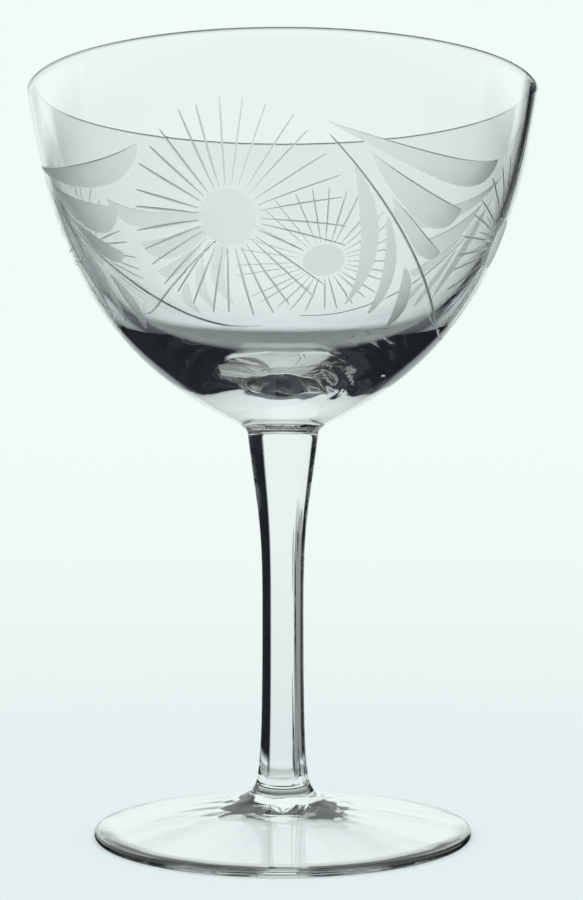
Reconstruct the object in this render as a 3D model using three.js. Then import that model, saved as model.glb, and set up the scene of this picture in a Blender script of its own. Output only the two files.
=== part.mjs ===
// A stemmed sherbet glass in clear glass: a round bowl on a thick base, a solid tapered stem and a flat foot.
// Each piece is formed by itself, turned about the vertical axis, and joined to the next while hot.
// Millimetres, +Z up. The origin is the middle of the surface that the glass stands on.

import * as THREE from 'three';

// Heights, from the standing surface upwards
const footHeight = 9.6; // standing surface to the foot's joint with the stem
const stemLength = 66.9; // foot joint to bowl joint
const bowlHeight = 61.7; // bowl joint to the top of the lip

// Joints, where a flat end of one piece meets a flat end of the next
const bowlJointRadius = 8.5;
const footJointRadius = 5.0;

// Bowl
const rimRadius = 47.7;
const lipThickness = 1.7; // wall at the lip, which is rounded over
const baseThickness = 8.7; // glass under the middle of the bowl
const wallLean = THREE.MathUtils.degToRad(8.8); // from upright, just below the lip
const baseRise = THREE.MathUtils.degToRad(25.1); // from level, just above the stem
const outsideWallRun = 26.7; // how far the outside keeps the wall's lean
const outsideBaseRun = 29.6; // how far the outside keeps the base's rise
const insideWallRun = 22.9; // how far the inside keeps the wall's lean
const insideFloorRun = 33.3; // how far the inside keeps level from the middle

// Stem
const stemTopRadius = 6.6; // just under the flare that meets the bowl
const flareHeight = 2.4;
const flareRun = 1.3; // how far the flare keeps the base's rise before it meets the bowl
const stemTaper = 0.12; // narrowing per millimetre of height under the flare
const taperRun = 13.9;
const waistRadius = 3.9; // the thinnest place
const waistHeight = 32.4; // above the foot joint
const waistRun = 17.2; // how far the waist keeps upright, above and below
const stemSpreadRadius = 4.0; // where the stem's foot end aims on its way in to the waist
const stemSpreadHeight = 3.6;

// Foot
const footRadius = 35.1;
const footEdge = 1.5; // thickness at the edge, which is rounded
const bearingWidth = 1.2; // flat ring that the glass stands on
const hollowHeight = 3.8; // rise of the underside in the middle
const hollowRun = 12.0; // how far the underside keeps level before it slopes down to that ring
const shoulderRadius = 14.0; // where the flat part of the foot turns up towards the stem
const shoulderHeight = 5.3;
const neckDrop = 2.9; // how far the neck keeps close to the stem
const neckSpread = 0.9;

// The glass's own look
const glassColour = 0xe6f0ee;
const glassRoughness = 0.03;
const glassOpacity = 0.35;

// How finely the curves are divided
const turnSegments = 60;
const bowlSteps = 14;
const stemSteps = 8;
const footSteps = 7;
const roundingSteps = 4;
const samePlace = 1e-6; // neighbouring points closer than this are one point

const footJointHeight = footHeight;
const bowlJointHeight = footHeight + stemLength;
const overallHeight = bowlJointHeight + bowlHeight;

const at = (radius, height) => new THREE.Vector2(radius, height);

// Points along a smooth curve that leaves first towards second and reaches last from third
const curve = (first, second, third, last, steps) =>
  new THREE.CubicBezierCurve(first, second, third, last).getPoints(steps);

// Points along part of a circle, from one angle to another, both measured from outward level
const rounding = (centre, radius, fromAngle, toAngle) => {
  const points = [];
  for (let step = 0; step <= roundingSteps; step += 1) {
    const angle = fromAngle + ((toAngle - fromAngle) * step) / roundingSteps;
    points.push(at(centre.x + radius * Math.cos(angle), centre.y + radius * Math.sin(angle)));
  }
  return points;
};

// A solid turned about the vertical axis from an outline that starts and ends on that axis
const turned = (outline) => {
  const isNew = (point, index) => index === 0 || point.distanceTo(outline[index - 1]) > samePlace;
  const points = outline.filter(isNew);
  const geometry = new THREE.LatheGeometry(points, turnSegments);
  geometry.rotateX(Math.PI / 2);
  return geometry;
};

const clearGlass = () =>
  new THREE.MeshStandardMaterial({
    color: glassColour,
    roughness: glassRoughness,
    metalness: 0,
    transparent: true,
    opacity: glassOpacity,
  });

function makeFoot() {
  const edgeRound = footEdge / 2;
  const edgeCentre = at(footRadius - edgeRound, edgeRound);
  const bearingInside = footRadius - edgeRound - bearingWidth;
  const hollowMiddle = at(0, hollowHeight);
  const hollowSlope = hollowHeight / (bearingInside - hollowRun / 2);
  const shoulder = at(shoulderRadius, shoulderHeight);
  const edgeTop = at(edgeCentre.x, footEdge);
  const slope = (shoulder.y - edgeTop.y) / (edgeTop.x - shoulder.x);
  const neck = at(footJointRadius, footJointHeight);
  const spreadRun = (shoulderRadius - footJointRadius) / 2;
  const outline = [
    ...curve(
      hollowMiddle,
      at(hollowRun, hollowHeight),
      at(hollowRun, hollowSlope * (bearingInside - hollowRun)),
      at(bearingInside, 0),
      footSteps,
    ),
    ...rounding(edgeCentre, edgeRound, -Math.PI / 2, Math.PI / 2),
    ...curve(
      shoulder,
      at(shoulder.x - spreadRun, shoulder.y + slope * spreadRun),
      at(neck.x + neckSpread, neck.y - neckDrop),
      neck,
      footSteps,
    ),
    at(0, footJointHeight),
  ];
  const foot = new THREE.Mesh(turned(outline), clearGlass());
  foot.name = 'foot';
  return foot;
}

function makeStem() {
  const base = at(footJointRadius, footJointHeight);
  const waist = at(waistRadius, footJointHeight + waistHeight);
  const underFlare = at(stemTopRadius, bowlJointHeight - flareHeight);
  const joint = at(bowlJointRadius, bowlJointHeight);
  const outline = [
    at(0, footJointHeight),
    ...curve(
      base,
      at(stemSpreadRadius, base.y + stemSpreadHeight),
      at(waistRadius, waist.y - waistRun),
      waist,
      stemSteps,
    ),
    ...curve(
      waist,
      at(waistRadius, waist.y + waistRun),
      at(stemTopRadius - stemTaper * taperRun, underFlare.y - taperRun),
      underFlare,
      stemSteps,
    ),
    ...curve(
      underFlare,
      at(stemTopRadius, underFlare.y + flareHeight / 2),
      at(joint.x - flareRun * Math.cos(baseRise), joint.y - flareRun * Math.sin(baseRise)),
      joint,
      roundingSteps,
    ),
    at(0, bowlJointHeight),
  ];
  const stem = new THREE.Mesh(turned(outline), clearGlass());
  stem.name = 'stem';
  return stem;
}

function makeBowl() {
  const lipRound = lipThickness / 2;
  const lipHeight = overallHeight - lipRound;
  const lipCentre = at(rimRadius - lipRound, lipHeight);
  const joint = at(bowlJointRadius, bowlJointHeight);
  const outsideLip = at(rimRadius, lipHeight);
  const insideLip = at(rimRadius - lipThickness, lipHeight);
  const insideFloor = at(0, bowlJointHeight + baseThickness);
  const outline = [
    at(0, bowlJointHeight),
    ...curve(
      joint,
      at(joint.x + outsideBaseRun * Math.cos(baseRise), joint.y + outsideBaseRun * Math.sin(baseRise)),
      at(rimRadius - outsideWallRun * Math.sin(wallLean), lipHeight - outsideWallRun * Math.cos(wallLean)),
      outsideLip,
      bowlSteps,
    ),
    ...rounding(lipCentre, lipRound, 0, Math.PI),
    ...curve(
      insideLip,
      at(insideLip.x - insideWallRun * Math.sin(wallLean), lipHeight - insideWallRun * Math.cos(wallLean)),
      at(insideFloorRun, insideFloor.y),
      insideFloor,
      bowlSteps,
    ),
  ];
  const bowl = new THREE.Mesh(turned(outline), clearGlass());
  bowl.name = 'bowl';
  return bowl;
}

const sherbetGlass = new THREE.Group();
sherbetGlass.name = 'sherbet_glass';
sherbetGlass.add(makeFoot(), makeStem(), makeBowl());

export default sherbetGlass;
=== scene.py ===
import bisect
import math

import bmesh
import bpy
from mathutils import Matrix, Vector, noise
from mathutils.geometry import interpolate_bezier


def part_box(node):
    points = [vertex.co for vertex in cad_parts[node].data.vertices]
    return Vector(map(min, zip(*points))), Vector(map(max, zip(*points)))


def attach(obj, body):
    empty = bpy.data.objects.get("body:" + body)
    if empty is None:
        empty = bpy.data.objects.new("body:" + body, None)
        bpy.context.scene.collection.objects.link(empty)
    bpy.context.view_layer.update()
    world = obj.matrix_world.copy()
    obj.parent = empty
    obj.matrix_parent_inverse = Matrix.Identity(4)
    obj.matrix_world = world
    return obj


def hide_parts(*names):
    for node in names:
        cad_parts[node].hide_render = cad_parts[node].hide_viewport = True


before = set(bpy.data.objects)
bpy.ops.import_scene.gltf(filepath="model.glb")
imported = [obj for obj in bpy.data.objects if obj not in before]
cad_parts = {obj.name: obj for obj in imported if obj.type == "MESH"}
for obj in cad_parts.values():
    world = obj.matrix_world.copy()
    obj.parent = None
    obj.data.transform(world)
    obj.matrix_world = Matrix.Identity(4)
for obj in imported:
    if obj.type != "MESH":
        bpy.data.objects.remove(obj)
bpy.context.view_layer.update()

# Foot
# A disc of clear glass, spun flat while hot from a gather on the end of the stem.
# The edge is fire-polished round, the underside is a little hollow, and the middle turns up into a neck.

MM = 0.001
same_place = 1e-7
foot_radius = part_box("foot")[1].x
neck_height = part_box("foot")[1].z
neck_radius = 5.0 * MM
foot_edge = 1.5 * MM
bearing_width = 1.2 * MM
hollow_height = 3.8 * MM
hollow_run = 12 * MM
shoulder_radius = 14.0 * MM
shoulder_height = 5.3 * MM
neck_drop = 2.9 * MM
neck_spread = 0.9 * MM
top_facing = 0.2
neck_wave = 0.2 * MM
neck_wave_size = 3.2 * MM
neck_waves_begin = (5.4 * MM, 7.5 * MM)
neck_waves_end = (11 * MM, 18 * MM)
glass_tint = (0.994, 0.999, 0.997)
glass_ior = 1.51
blown_wave = 0.004 * MM
blown_wave_size = 9 * MM


def at(radius, height):
    """A point of an outline that is turned about the glass's axis."""
    return Vector((radius, 0, height))


def curve(first, second, third, last, steps):
    """Points from first to last, leaving towards second and arriving from third."""
    return interpolate_bezier(first, second, third, last, steps + 1)


def rounding(centre, radius, start, end, steps):
    """Points on an arc about centre, between two angles in degrees from outward level."""
    points = []
    for step in range(steps + 1):
        angle = math.radians(start + (end - start) * step / steps)
        points.append(centre + radius * at(math.cos(angle), math.sin(angle)))
    return points


def placed(name, shape):
    """An object in the scene that holds a finished shape."""
    mesh = bpy.data.meshes.new(name)
    shape.to_mesh(mesh)
    shape.free()
    piece = bpy.data.objects.new(name, mesh)
    bpy.context.scene.collection.objects.link(piece)
    return piece


def turned(name, outline, around, joints):
    """A closed solid turned from an outline.

    Its flat joint faces, at the given heights, take its second material.
    """
    shape = bmesh.new()
    verts = [shape.verts.new(point) for point in outline]
    edges = [shape.edges.new(pair) for pair in zip(verts, verts[1:])]
    bmesh.ops.spin(shape, geom=verts + edges, cent=(0, 0, 0), axis=(0, 0, 1), angle=math.tau,
                   steps=around, use_merge=True)
    bmesh.ops.remove_doubles(shape, verts=shape.verts, dist=same_place)
    bmesh.ops.recalc_face_normals(shape, faces=shape.faces)
    for face in shape.faces:
        face.smooth = True
        for height in joints:
            if all(abs(vert.co.z - height) < same_place for vert in face.verts):
                face.material_index = 1
    for edge in shape.edges:
        edge.smooth = len({face.material_index for face in edge.link_faces}) == 1
    return placed(name, shape)


def eased(value, low, high):
    """Goes smoothly from 0 where a number is low to 1 where it is high."""
    part = min(max((value - low) / (high - low), 0), 1)
    return part * part * (3 - 2 * part)


class Socket:
    """One output of a shader node, or none yet. Arithmetic on it adds Math nodes to the same tree."""

    def __init__(self, tree, output=None):
        self.tree = tree
        self.output = output

    def node(self, kind, settings, values, output=0):
        """Adds a node to the tree, sets it up, fills or links its sockets and gives one of its outputs."""
        new = self.tree.nodes.new(kind)
        for name, value in settings.items():
            setattr(new, name, value)
        for key, value in values.items():
            if isinstance(value, Socket):
                self.tree.links.new(value.output, new.inputs[key])
            else:
                new.inputs[key].default_value = value
        return Socket(self.tree, new.outputs[output] if new.outputs else None)

    def beside(self, output):
        """Another output of the same node."""
        return Socket(self.tree, self.output.node.outputs[output])

    def maths(self, operation, *values):
        """Adds a Math node."""
        return self.node("ShaderNodeMath", {"operation": operation}, dict(enumerate(values)))

    def at_least(self, other):
        """The larger of this value and another."""
        return self.maths("MAXIMUM", self, other)

    def __add__(self, other):
        return self.maths("ADD", self, other)

    def __mul__(self, other):
        return self.maths("MULTIPLY", self, other)

    def __sub__(self, other):
        return self.maths("SUBTRACT", self, other)

    def __rsub__(self, other):
        return self.maths("SUBTRACT", other, self)

    def __mod__(self, other):
        return self.maths("MODULO", self, other)

    def __rmod__(self, other):
        return self.maths("MODULO", other, self)

    __radd__ = __add__
    __rmul__ = __mul__


def new_material(name):
    """A material with no nodes yet, and the empty socket from which its nodes are added."""
    material = bpy.data.materials.new(name)
    material.use_nodes = True
    material.node_tree.nodes.clear()
    return material, Socket(material.node_tree)


def waves(nodes, height, size, stretch=(1, 1, 1)):
    """The rise of a surface with gentle waves of a height and a size, drawn out where stretch is below 1."""
    place = nodes.node("ShaderNodeTexCoord", {}, {}, "Object")
    scale = tuple(part / size for part in stretch)
    place = nodes.node("ShaderNodeMapping", {}, {"Vector": place, "Scale": scale}, "Vector")
    pattern = nodes.node("ShaderNodeTexNoise", {}, {"Vector": place, "Scale": 1.0, "Detail": 2.0}, "Fac")
    return pattern * height


def glass(name, tint, roughness, clear, surface_rise):
    """Glass of which a share is clear, and whose surface rises by what a function of its nodes gives."""
    material, nodes = new_material(name)
    surface = nodes.node("ShaderNodeBump", {}, {
        "Strength": 1.0,
        "Distance": 1.0,
        "Height": surface_rise(nodes),
    })
    shader = nodes.node("ShaderNodeBsdfPrincipled", {}, {
        "Base Color": (*tint, 1),
        "Roughness": roughness,
        "IOR": glass_ior,
        "Transmission Weight": clear,
        "Normal": surface,
    })
    nodes.node("ShaderNodeOutputMaterial", {}, {"Surface": shader})
    return material


def blown_surface(nodes):
    """The faint waves that blown and spun glass keeps."""
    return waves(nodes, blown_wave, blown_wave_size)


edge_round = foot_edge / 2
edge_centre = at(foot_radius - edge_round, edge_round)
bearing_inside = edge_centre.x - bearing_width
hollow_slope = hollow_height / (bearing_inside - hollow_run / 2)
shoulder_slope = (shoulder_height - foot_edge) / (edge_centre.x - shoulder_radius)
spread_run = (shoulder_radius - neck_radius) / 2
foot_outline = [
    *curve(at(0, hollow_height), at(hollow_run, hollow_height),
           at(hollow_run, hollow_slope * (bearing_inside - hollow_run)), at(bearing_inside, 0), steps=24),
    *rounding(edge_centre, edge_round, -90, 90, steps=12),
    *curve(at(shoulder_radius, shoulder_height),
           at(shoulder_radius - spread_run, shoulder_height + shoulder_slope * spread_run),
           at(neck_radius + neck_spread, neck_height - neck_drop),
           at(neck_radius, neck_height), steps=28),
    at(0, neck_height),
]
foot = turned("spun_foot", foot_outline, around=192, joints=[neck_height])
foot_top = [vert for vert in foot.data.vertices if vert.normal.z > top_facing]
for vert in foot_top:
    reach = vert.co.xy.length
    wavy = eased(reach, *neck_waves_begin) * (1 - eased(reach, *neck_waves_end))
    vert.co.z += neck_wave * wavy * noise.noise(vert.co / neck_wave_size)
blown_glass = glass("blown_glass", glass_tint, roughness=0.0, clear=1.0, surface_rise=blown_surface)
# Inside a hot joint two pieces of glass are one, and nothing shows
joint_glass, nodes = new_material("fused_joint")
unseen = nodes.node("ShaderNodeBsdfPrincipled", {}, {"Alpha": 0.0})
nodes.node("ShaderNodeOutputMaterial", {}, {"Surface": unseen})
foot.data.materials.append(blown_glass)
foot.data.materials.append(joint_glass)
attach(foot, "root")
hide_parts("foot")

# Stem
# A solid rod of clear glass, drawn out hot so that it is thickest under the bowl and thinnest midway.
# It flares where it is stuck to the bowl and spreads a little on to the foot.

stem_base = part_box("stem")[0].z
stem_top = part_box("stem")[1].z
bowl_joint_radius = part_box("stem")[1].x
base_rise = math.radians(25.1)
rise = at(math.cos(base_rise), math.sin(base_rise))
under_flare_radius = 6.6 * MM
flare_height = 2.4 * MM
flare_run = 1.3 * MM
stem_taper = 0.12
taper_run = 13.9 * MM
waist_radius = 3.9 * MM
waist_height = stem_base + 32.4 * MM
waist_run = 17.2 * MM
spread_radius = 4.0 * MM
spread_height = 3.6 * MM
drawn_wave = 0.006 * MM
drawn_wave_size = 3 * MM
drawn_stretch = (1, 1, 0.12)
cord_rise = 0.5 * MM
cord_scale = (1100, 1100, 18)
cord_side = (1.3 * MM, 2.4 * MM)
cord_height = (64 * MM, 56 * MM)


def rising(value, low, high):
    """Goes smoothly from 0 where a socket's value is low to 1 where it is high."""
    return value.node("ShaderNodeMapRange", {"interpolation_type": "SMOOTHSTEP"},
                      {"Value": value, "From Min": low, "From Max": high})


def drawn_surface(nodes):
    """Waves drawn out along the rod, with fine cords down its right side below the top."""
    place = nodes.node("ShaderNodeTexCoord", {}, {}, "Object")
    across = nodes.node("ShaderNodeSeparateXYZ", {}, {"Vector": place}, "X")
    on_side = rising(across, *cord_side)
    below_top = rising(across.beside("Z"), *cord_height)
    place = nodes.node("ShaderNodeMapping", {}, {"Vector": place, "Scale": cord_scale}, "Vector")
    cords = nodes.node("ShaderNodeTexNoise", {}, {"Vector": place, "Scale": 1.0, "Detail": 1.0}, "Fac")
    return waves(nodes, drawn_wave, drawn_wave_size, drawn_stretch) + cords * on_side * below_top * cord_rise


stem_foot = at(neck_radius, stem_base)
waist = at(waist_radius, waist_height)
under_flare = at(under_flare_radius, stem_top - flare_height)
flare_edge = at(bowl_joint_radius, stem_top)
stem_outline = [
    at(0, stem_base),
    *curve(stem_foot, at(spread_radius, stem_base + spread_height), waist - at(0, waist_run),
           waist, steps=30),
    *curve(waist, waist + at(0, waist_run), under_flare - at(stem_taper * taper_run, taper_run),
           under_flare, steps=30),
    *curve(under_flare, under_flare + at(0, flare_height / 2), flare_edge - flare_run * rise,
           flare_edge, steps=16),
    at(0, stem_top),
]
stem = turned("drawn_stem", stem_outline, around=128, joints=[stem_base, stem_top])
drawn_glass = glass("drawn_glass", glass_tint, roughness=0.0, clear=1.0, surface_rise=drawn_surface)
stem.data.materials.append(drawn_glass)
stem.data.materials.append(joint_glass)
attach(stem, "root")
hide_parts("stem")

# Bowl
# A blown bubble of clear glass, opened out to a round bowl with a thin wall and a thick base.
# The lip is cut off and melted round, and the middle of the base is stuck to the stem.

rim_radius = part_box("bowl")[1].x
rim_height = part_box("bowl")[1].z
lip_thickness = 1.7 * MM
base_thickness = 8.7 * MM
wall_lean = math.radians(8.8)
outside_wall_run = 26.7 * MM
outside_base_run = 29.6 * MM
inside_wall_run = 22.9 * MM
inside_floor_run = 33.3 * MM
floor_facing = 0.3
streak_rise = 0.6 * MM
streak_length = 6 * MM
streak_width = 2.2 * MM
swirl_turn = 12 * MM
swirl_reach = 22 * MM
swirl_fade = 7 * MM
swirl_side = (4.5 * MM, 8 * MM)
swirl_front = (1 * MM, 6 * MM)
calm_share = 0.07
lip_round = lip_thickness / 2
lip_height = rim_height - lip_round
lean = at(-math.sin(wall_lean), -math.cos(wall_lean))
outside_lip = at(rim_radius, lip_height)
inside_lip = at(rim_radius - lip_thickness, lip_height)
inside_floor = at(0, stem_top + base_thickness)
outside = curve(flare_edge, flare_edge + outside_base_run * rise,
                outside_lip + outside_wall_run * lean, outside_lip, steps=90)
bowl_outline = [
    at(0, stem_top),
    *outside,
    *rounding(at(rim_radius - lip_round, lip_height), lip_round, 0, 180, steps=12),
    *curve(inside_lip, inside_lip + inside_wall_run * lean,
           inside_floor + at(inside_floor_run, 0), inside_floor, steps=90),
]
bowl = turned("cut_bowl", bowl_outline, around=256, joints=[stem_top])
upward_verts = [vert for vert in bowl.data.vertices if vert.normal.z > floor_facing]
floor_verts = [vert for vert in upward_verts if vert.co.xy.length < swirl_reach]
for vert in floor_verts:
    reach = vert.co.xy.length
    in_swirl = eased(vert.co.x, *swirl_side) * eased(-vert.co.y, *swirl_front)
    strength = (calm_share + (1 - calm_share) * in_swirl) * eased(swirl_reach - reach, 0, swirl_fade)
    place = Matrix.Rotation(reach / swirl_turn, 3, "Z") @ vert.co
    streaks = noise.noise((place.x / streak_length, place.y / streak_width, 0))
    vert.co.z += streak_rise * streaks * strength
bowl.data.materials.append(blown_glass)
bowl.data.materials.append(joint_glass)
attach(bowl, "root")
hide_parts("bowl")

# Cut decoration
# Four rayed flowers round the bowl, each with a spray of leaves trailing from it towards the next one.
# They are ground into the outside of the wall with stone wheels and left matt, as grey cutting.

repeats = 4
flower_turn = -12.6
flower_height = 109 * MM
spot_radius = 4.9 * MM
spot_depth = 0.3 * MM
spot_clear = 0.05 * MM
spot_edge_lift = 1.06
ray_count = 31
ray_width = 0.4 * MM
ray_start = 5.0 * MM
ray_reach = 18.9 * MM
ray_reach_right = 1.2 * MM
ray_reach_up = 0.9 * MM
ray_reach_stray = 0.4 * MM
ray_turn_stray = 1.3
short_ray = 21
short_share = 0.7
light_touch = 0.4
light_side = math.radians(15)
groove_slope = 0.7
leaf_steepness = 0.03
stalk_width = 0.45 * MM
cut_over = 0.02 * MM
grain = 0.01 * MM
grain_size = 0.6 * MM

wall_heights = [point.z for point in outside]
wall_lengths = [0.0]
for below, above in zip(outside, outside[1:]):
    wall_lengths.append(wall_lengths[-1] + (above - below).length)


def wall_length(height):
    """How far up the outside of the wall a height is, measured along the wall from the stem."""
    step = bisect.bisect(wall_heights, height) - 1
    part = (height - wall_heights[step]) / (wall_heights[step + 1] - wall_heights[step])
    return wall_lengths[step] + part * (wall_lengths[step + 1] - wall_lengths[step])


def on_wall(turn, length, lift):
    """A point so many degrees round from the front and so far up the wall, lifted off its surface."""
    step = bisect.bisect(wall_lengths, length) - 1
    low, high = outside[step], outside[step + 1]
    part = (length - wall_lengths[step]) / (wall_lengths[step + 1] - wall_lengths[step])
    upward = (high - low).normalized()
    outward = at(upward.z, -upward.x)
    return Matrix.Rotation(math.radians(turn - 90), 3, "Z") @ (low.lerp(high, part) + lift * outward)


def beside_flower(across, up, lift):
    """A point so far across and up from the middle of a flower, measured over the bowl's surface."""
    length = wall_length(flower_height) + up
    radius = on_wall(0, length, 0).xy.length
    return on_wall(flower_turn + math.degrees(across / radius), length, lift)


def along_spray(place, lift):
    """A point so many degrees round from a flower, at a height in millimetres, lifted off the wall."""
    return on_wall(flower_turn + place.x, wall_length(place.y * MM), lift)


def degree_width(height):
    """How far one degree reaches round the outside of the wall at a height."""
    return math.radians(1) * on_wall(0, wall_length(height), 0).xy.length


def wheel_pass(shape, stations):
    """The space that a wheel cuts on one pass, from the outlines of it at stations along the way."""
    end = shape.faces.new([shape.verts.new(point) for point in stations[0]])
    end.material_index = 1
    for number, points in enumerate(stations[1:]):
        made = bmesh.ops.extrude_face_region(shape, geom=[end])["geom"]
        if number > 0:
            shape.faces.remove(end)
        end = next(item for item in made if isinstance(item, bmesh.types.BMFace))
        for vert, point in zip(end.verts, points):
            vert.co = point


def ray(shape, angle, end, width):
    """One ray of a flower: a narrow groove that starts faintly beside the spot and runs out at its tip."""
    clear = 0.1 * MM
    flank = 1.4 * clear
    along = Vector((math.cos(angle), math.sin(angle)))
    side = Vector((-along.y, along.x))
    stations = []
    for part in (0, 0.03, 0.12, 0.25, 0.4, 0.55, 0.7, 0.85, 0.95, 1):
        swell = math.sin(math.pi * (0.12 + 0.82 * part)) ** 0.4
        faint_start = 0.5 + 0.5 * eased(part, 0, 0.4)
        half = width / 2 * swell * faint_start
        depth = groove_slope * half
        if part in (0, 1):
            half = 0
            depth = -cut_over
        middle = along * (ray_start + (end - ray_start) * part)
        left = middle + side * (half + flank)
        right = middle - side * (half + flank)
        stations.append([beside_flower(*left, clear), beside_flower(*middle, -depth),
                         beside_flower(*right, clear)])
    wheel_pass(shape, stations)


def leaf(shape, root, deep_edge, thin_edge, tip, slant):
    """One leaf: a slanting cut between two edges, steep and deep at one and shallow at the other."""
    steps = 18
    clear = 0.05 * MM
    deep = curve(Vector(root), Vector(deep_edge[0]), Vector(deep_edge[1]), Vector(tip), steps)
    thin = curve(Vector(root), Vector(thin_edge[0]), Vector(thin_edge[1]), Vector(tip), steps)
    stations = []
    for step in range(steps + 1):
        near = min(max(step, 1), steps - 1)
        across = thin[near] - deep[near]
        width = math.hypot(across.x * degree_width(deep[near].y * MM), across.y * MM)
        depth = slant * width
        bottom = deep[step] + leaf_steepness * across
        top = deep[step] - 0.02 * across
        beyond = deep[step] + (1 + clear / depth) * across
        if step != near:
            depth = -cut_over
            bottom = deep[step]
            top = deep[step] - 0.1 * across
            beyond = deep[step] + 0.1 * across
        middle = top.lerp(beyond, 0.5)
        stations.append([along_spray(top, 4 * clear), along_spray(bottom, -depth),
                         along_spray(beyond, clear), along_spray(middle, 4 * clear)])
    wheel_pass(shape, stations)


def stalk(shape, first, second, third, last, width):
    """The line that carries the leaves: one long narrow groove."""
    steps = 40
    clear = 0.12 * MM
    points = curve(Vector(first), Vector(second), Vector(third), Vector(last), steps)
    stations = []
    for step, point in enumerate(points):
        ahead = points[min(step + 1, steps)] - points[max(step - 1, 0)]
        degree = degree_width(point.y * MM) / MM
        along = Vector((ahead.x * degree, ahead.y)).normalized()
        side = Vector((-along.y / degree, along.x))
        half = width / 2 * math.sin(math.pi * (0.08 + 0.84 * step / steps)) ** 0.5
        if step in (0, steps):
            half = -cut_over
        left = point + side * ((half + clear) / MM)
        right = point - side * ((half + clear) / MM)
        stations.append([along_spray(left, clear), along_spray(point, -half), along_spray(right, clear)])
    wheel_pass(shape, stations)


def stone_grain(nodes):
    """The grain that a stone wheel leaves."""
    return waves(nodes, grain, grain_size)


cuts = bmesh.new()
spot = bmesh.ops.create_uvsphere(cuts, u_segments=40, v_segments=16, radius=1)
for vert in spot["verts"]:
    reach = vert.co.xy.length
    lift = spot_clear
    if vert.co.z < 0.01:
        lift = spot_depth * (spot_edge_lift * reach * reach - 1)
    vert.co = beside_flower(vert.co.x * spot_radius, vert.co.y * spot_radius, lift)
for number in range(ray_count):
    stray = ray_turn_stray * math.sin(number * 2.4)
    angle = math.radians(90 + 360 * number / ray_count + stray)
    stray = ray_reach_stray * math.sin(number * 4.1)
    reach = ray_reach + ray_reach_right * math.cos(angle) + ray_reach_up * math.sin(angle) + stray
    if number == short_ray:
        reach = short_share * reach
    bite = 1 - light_touch * max(math.cos(angle - light_side), 0)
    ray(cuts, angle, reach, ray_width * bite)
# Three leaves lie above the stalk and three hang below it
leaf(cuts, (21.5, 123.8), ((35, 120.8), (57, 118.2)), ((42, 116.5), (66, 111.5)), (70.5, 121.7), slant=0.1)
leaf(cuts, (32.2, 119.2), ((39, 116.2), (50, 113.2)), ((36, 112.5), (56, 103.5)), (60.5, 112.2), slant=0.11)
leaf(cuts, (38, 113), ((43, 110.6), (50, 107)), ((42, 107.8), (53, 100.8)), (57.9, 104.9), slant=0.11)
leaf(cuts, (28.4, 117.4), ((31, 109), (36, 100)), ((37, 110), (41, 100.5)), (30.8, 95), slant=0.06)
leaf(cuts, (38.2, 110), ((39.2, 104.5), (42.5, 99)), ((44, 104), (47, 97.5)), (39.6, 93.8), slant=0.06)
leaf(cuts, (47, 102.2), ((47.3, 99), (49.5, 96)), ((53, 99.5), (55.5, 94)), (49.1, 92.4), slant=0.07)
stalk(cuts, (22, 122.1), (44, 106.5), (64, 90), (97, 92.2), stalk_width)
bmesh.ops.spin(cuts, geom=cuts.verts[:] + cuts.edges[:] + cuts.faces[:], cent=(0, 0, 0), axis=(0, 0, 1),
               angle=math.tau * (repeats - 1) / repeats, steps=repeats - 1, use_duplicate=True)
bmesh.ops.recalc_face_normals(cuts, faces=cuts.faces)
cutter = placed("wheel_cuts", cuts)
fine_matt = glass("fine_matt", (0.91, 0.93, 0.925), roughness=0.35, clear=0.65, surface_rise=stone_grain)
matt_glass = glass("matt_glass", (0.88, 0.905, 0.905), roughness=0.45, clear=0.95, surface_rise=stone_grain)
for finish in (fine_matt, matt_glass):
    cutter.data.materials.append(finish)
    bowl.data.materials.append(finish)
grinding = bowl.modifiers.new("grinding", "BOOLEAN")
grinding.operation = "DIFFERENCE"
grinding.solver = "MANIFOLD"
grinding.object = cutter
grinding.material_mode = "TRANSFER"
ground = bowl.evaluated_get(bpy.context.evaluated_depsgraph_get())
cut_mesh = bpy.data.meshes.new_from_object(ground)
bowl.modifiers.clear()
bowl.data = cut_mesh
bpy.data.objects.remove(cutter)

# Studio
# A small pale floor fades into a pale surround. The camera and the floor see the surround plain.
# Light that the glass bends or throws back finds it dark with pale openings, as from a window in a dim room,
# so that clear glass shows its edges as dark lines.

floor_near = 60 * MM
floor_far = 320 * MM
floor_through_glass = (14 * MM, 30 * MM)
floor_colour = (0.89, 0.91, 0.92, 1)
disc = bmesh.new()
bmesh.ops.create_circle(disc, cap_ends=True, segments=96, radius=floor_far)
floor = placed("floor", disc)
pale_floor, nodes = new_material("pale_floor")
place = nodes.node("ShaderNodeTexCoord", {}, {}, "Object")
reach = nodes.node("ShaderNodeVectorMath", {"operation": "LENGTH"}, {0: place}, "Value")
bent = nodes.node("ShaderNodeLightPath", {}, {}, "Is Transmission Ray")
from_glass = bent.at_least(bent.beside("Is Glossy Ray"))
long_way = rising(bent.beside("Ray Depth"), 3, 5)
gone_from_glass = long_way.at_least(rising(reach, *floor_through_glass))
fading = rising(reach, floor_near, floor_far).at_least(from_glass * gone_from_glass)
surface = nodes.node("ShaderNodeBsdfDiffuse", {}, {"Color": floor_colour})
gone = nodes.node("ShaderNodeBsdfTransparent", {}, {})
shader = nodes.node("ShaderNodeMixShader", {}, {0: fading, 1: surface, 2: gone})
nodes.node("ShaderNodeOutputMaterial", {}, {"Surface": shader})
floor.data.materials.append(pale_floor)

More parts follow.
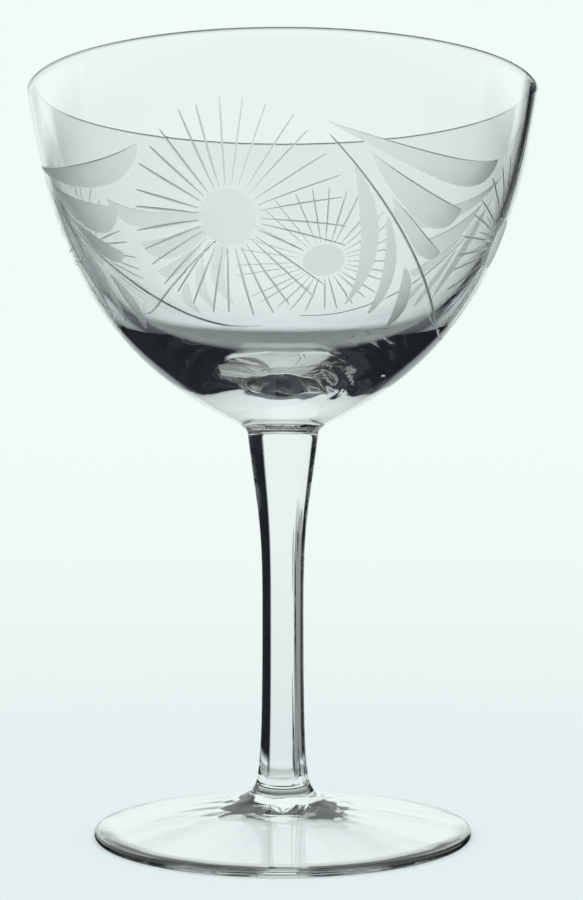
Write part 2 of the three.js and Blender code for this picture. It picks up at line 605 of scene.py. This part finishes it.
world = bpy.data.worlds.new("pale_surround")
bpy.context.scene.world = world
world.use_nodes = True
world.node_tree.nodes.clear()
nodes = Socket(world.node_tree)
pale_low = (0.76, 0.855, 0.85, 1)
pale_high = (0.88, 0.965, 0.945, 1)
dim = (0.012, 0.015, 0.018, 1)
direction = nodes.node("ShaderNodeTexCoord", {}, {}, "Generated")
across = nodes.node("ShaderNodeSeparateXYZ", {}, {"Vector": direction}, "X")
leftward = across * -1.0
ahead = across.beside("Y")
upward = across.beside("Z")
bearing = leftward.maths("ARCTAN2", leftward, ahead) * math.degrees(1)
climb = upward.maths("ARCSINE", upward) * math.degrees(1)


def window(bearings, climbs=(-91, 91), soft=2.5, fade=4):
    """A pale opening with soft edges, between two bearings to the left and two climbs, in degrees."""
    left, right = bearings
    low, high = climbs
    sides = rising(bearing, left - soft, left + soft) - rising(bearing, right - soft, right + soft)
    ends = rising(climb, low - fade, low + fade) - rising(climb, high - fade, high + fade)
    return sides * ends


def mixed(share, first, second):
    """A colour between two others. The colours of a Mix node are its sockets 6 and 7 and its output 2."""
    return share.node("ShaderNodeMix", {"data_type": "RGBA"}, {0: share, 6: first, 7: second}, 2)


# Ray Depth is one more than the surfaces met: 3 after a wall, 4 with a mirroring in it, 5 after two walls
bent_ray = nodes.node("ShaderNodeLightPath", {}, {}, "Is Transmission Ray")
thrown_ray = bent_ray.beside("Is Glossy Ray")
from_floor = bent_ray.beside("Diffuse Depth")
depth = bent_ray.beside("Ray Depth")
one_wall = bent_ray * (1 - rising(depth, 3, 4))
two_walls = bent_ray * (1 - rising(depth, 5, 6))
whole_walls = two_walls * (depth % 2.0)
outside_mirror = thrown_ray * (1 - rising(depth, 2, 3))
inside_mirror = bent_ray * (rising(depth, 3, 4) - rising(depth, 4, 5))
mirrored = outside_mirror.at_least(inside_mirror)
# All light finds the window, a weak skirt under it, a faint gap beside it and a soft ceiling
ceiling = 0.6 - 0.48 * rising(depth, 5, 7)
openings = [
    window((-25, 23), (-20, 95)),
    window((-25, 23), (-48, 95)) * 0.2,
    window((23, 46), soft=3) * 0.03,
    window((-181, 181), (45, 95), soft=1) * ceiling,
]
# Light through one or two walls also finds cards at the left, and openings at the sides, in front and below
cards = [window((23, 46)) * 0.33, window((10, 46), (4.5, 95))]
openings += [card * two_walls for card in cards]
sides = [
    window((80, 185), (-36, 95), soft=4),
    window((-185, -80), (-36, 95), soft=4),
    window((30, 84), (-50, -16), soft=4, fade=1.5),
    window((-84, -30), (-50, -16), soft=4, fade=1.5),
    window((-185, 185), (-95, -66), soft=1, fade=2),
]
openings += [side * whole_walls for side in sides]
openings.append(window((-185, 185), (-95, -40), soft=1, fade=3) * one_wall)
# Mirrored light finds a window on each side, and light off the outside finds the bright room in front too
side_windows = [window((23, 84), (2, 60)), window((-84, -46), (2, 60))]
openings += [side * mirrored for side in side_windows]
room = [window((80, 185), (-2, 95), soft=4), window((-185, -80), (-2, 95), soft=4)]
openings += [side * outside_mirror for side in room]
level = openings[0]
for opening in openings[1:]:
    level = level.at_least(opening)
# Through one wall the window has a dark bar above, and light weakens on long ways through the glass
bar = window((-25, 23), (21, 95), fade=2.5) * one_wall
level = level * (1 - bar) * (1 - 0.55 * rising(depth, 4, 12))
pattern_ray = bent_ray.at_least(thrown_ray) * (1 - from_floor.maths("MINIMUM", from_floor, 1.0))
pale = mixed(rising(climb, -16, 2), pale_low, pale_high)
seen = mixed(1 - pattern_ray * (1 - level), dim, pale)
background = nodes.node("ShaderNodeBackground", {}, {"Color": seen, "Strength": 1.0})
nodes.node("ShaderNodeOutputWorld", {}, {"Surface": background})

photo_height = 900
focal_pixels = 1613
camera_distance = 303 * MM
camera_height = 65.5 * MM
camera_offset = 1.6 * MM
camera_tilt = 0.020
camera_data = bpy.data.cameras.new("camera")
camera_data.sensor_width = 36
camera_data.lens = focal_pixels * camera_data.sensor_width / photo_height
camera_data.clip_start = 0.01
camera = bpy.data.objects.new("camera", camera_data)
camera.location = (camera_offset, -camera_distance, camera_height)
camera.rotation_euler = (math.pi / 2 + camera_tilt, 0, 0)
bpy.context.scene.collection.objects.link(camera)
bpy.context.scene.camera = camera
bpy.context.scene.view_settings.view_transform = "Standard"
bpy.context.scene.cycles.blur_glossy = 0.0
bpy.context.scene.cycles.max_bounces = 24
bpy.context.scene.cycles.glossy_bounces = 16
bpy.context.scene.cycles.transmission_bounces = 16
